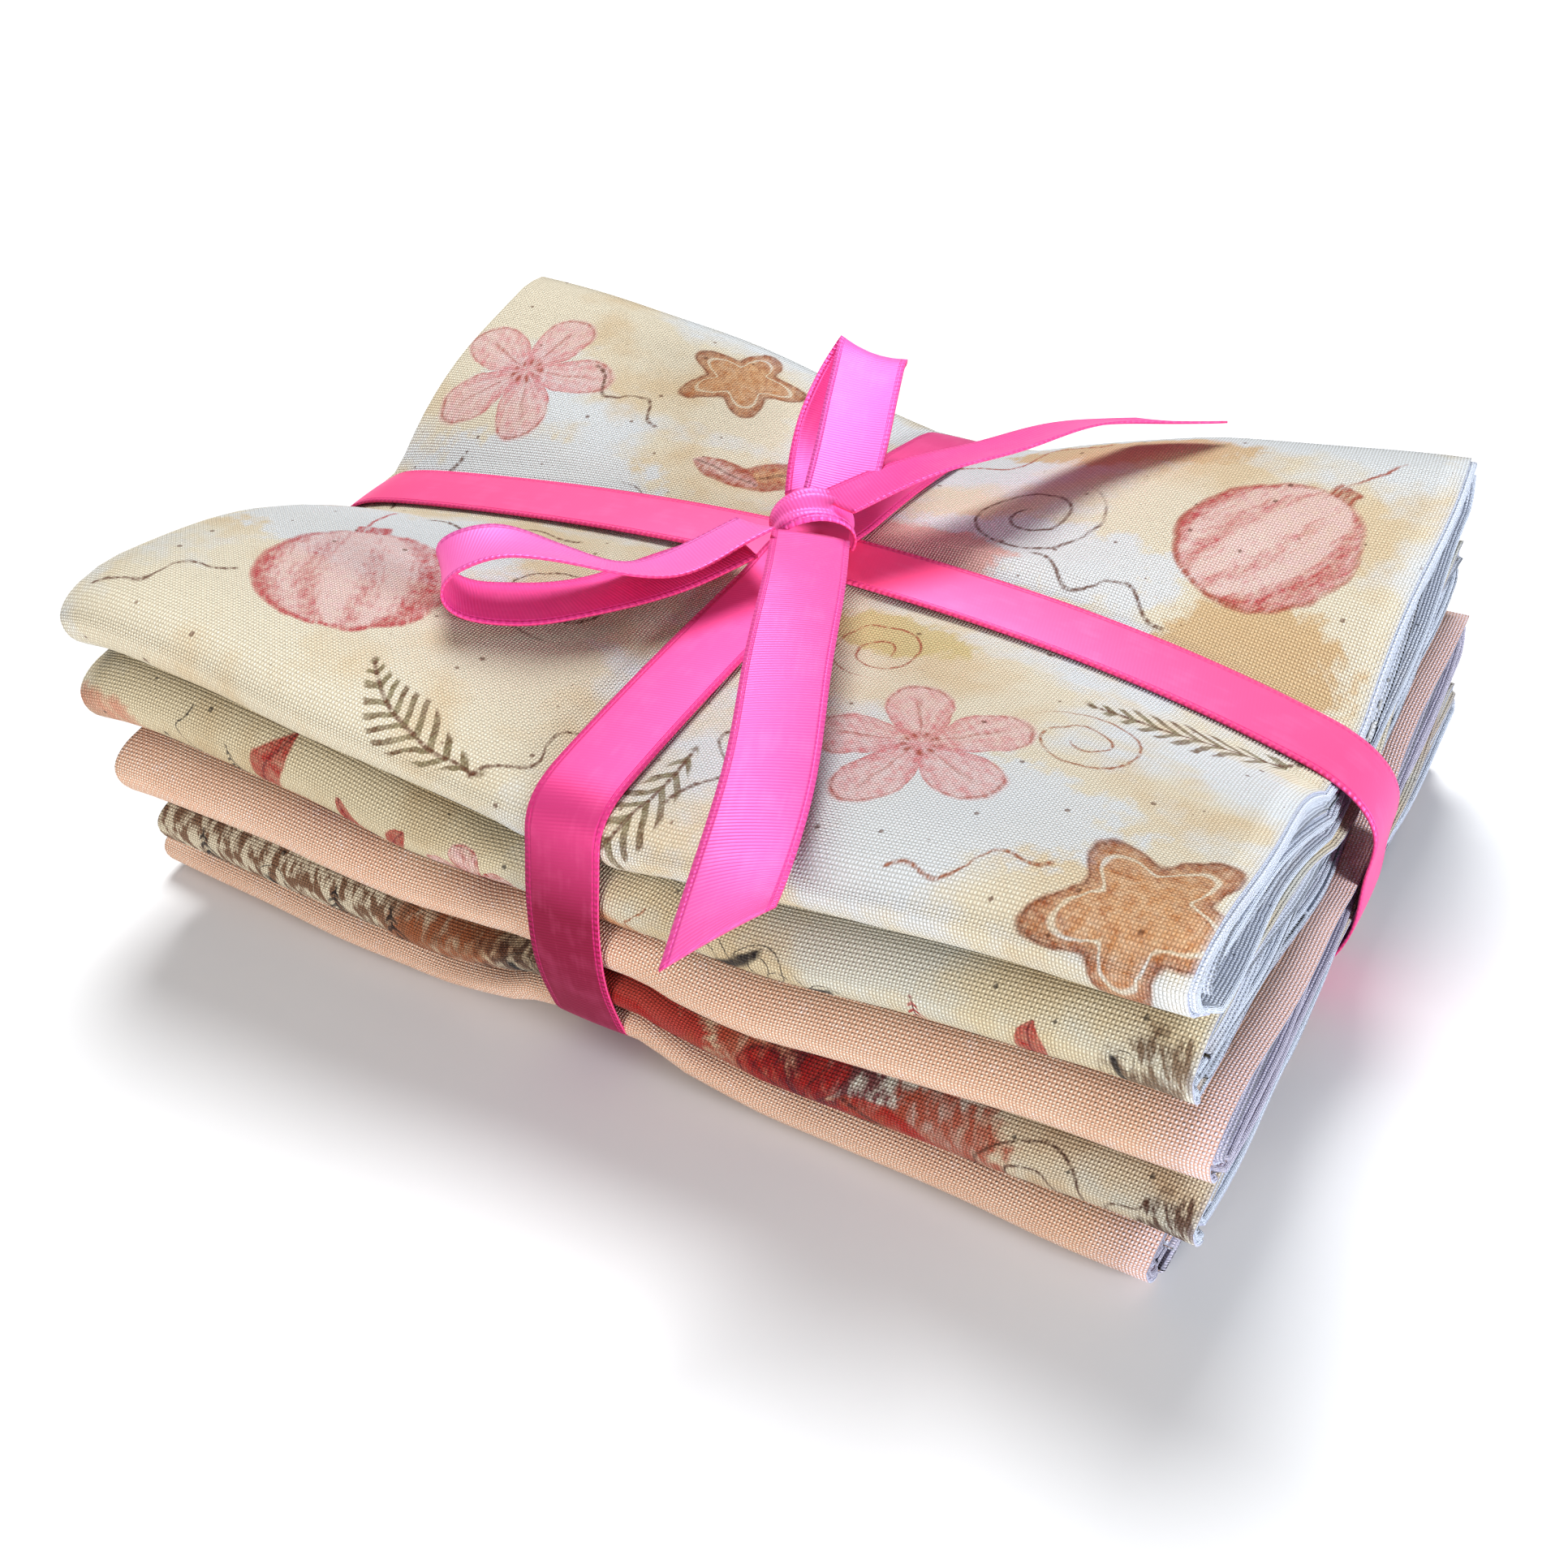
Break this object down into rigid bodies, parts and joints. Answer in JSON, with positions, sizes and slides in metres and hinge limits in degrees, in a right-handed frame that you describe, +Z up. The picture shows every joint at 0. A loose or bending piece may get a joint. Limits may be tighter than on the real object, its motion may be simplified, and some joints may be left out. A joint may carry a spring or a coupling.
{
  "type": "fat quarter bundle",
  "caption": "Stack of folded quilting cloths tied both ways with a satin ribbon, with a knot, two bow loops and two slant-cut tails on top.",
  "frame": {"origin": "middle of the bounding box's underside, on the surface that the bundle lies on", "axes": "+X along the long folded front edges, -Y towards the front folds and the hanging ribbon tail, +Z up"},
  "size_m": [0.1602, 0.133, 0.0591],
  "materials": {
    "cream_print_cotton": "printed cotton",
    "cream_small_print_cotton": "printed cotton",
    "brown_print_cotton": "printed cotton",
    "pink_mottled_cotton": "mottled cotton",
    "ribbon_satin_face": "satin",
    "ribbon_reverse": "ribbed satin reverse"
  },
  "bodies": {
    "root": {"fat_quarter_1": "cream_print_cotton", "fat_quarter_2": "cream_small_print_cotton", "fat_quarter_3": "pink_mottled_cotton", "fat_quarter_4": "brown_print_cotton", "fat_quarter_5": "pink_mottled_cotton", "ribbon_band_long": "ribbon_satin_face", "ribbon_band_short": "ribbon_satin_face", "ribbon_knot": "ribbon_reverse", "bow_loop_left": "ribbon_satin_face", "bow_loop_back": "ribbon_reverse", "ribbon_tail_front": "ribbon_reverse", "ribbon_tail_back": "ribbon_satin_face"}
  },
  "joints": []
}
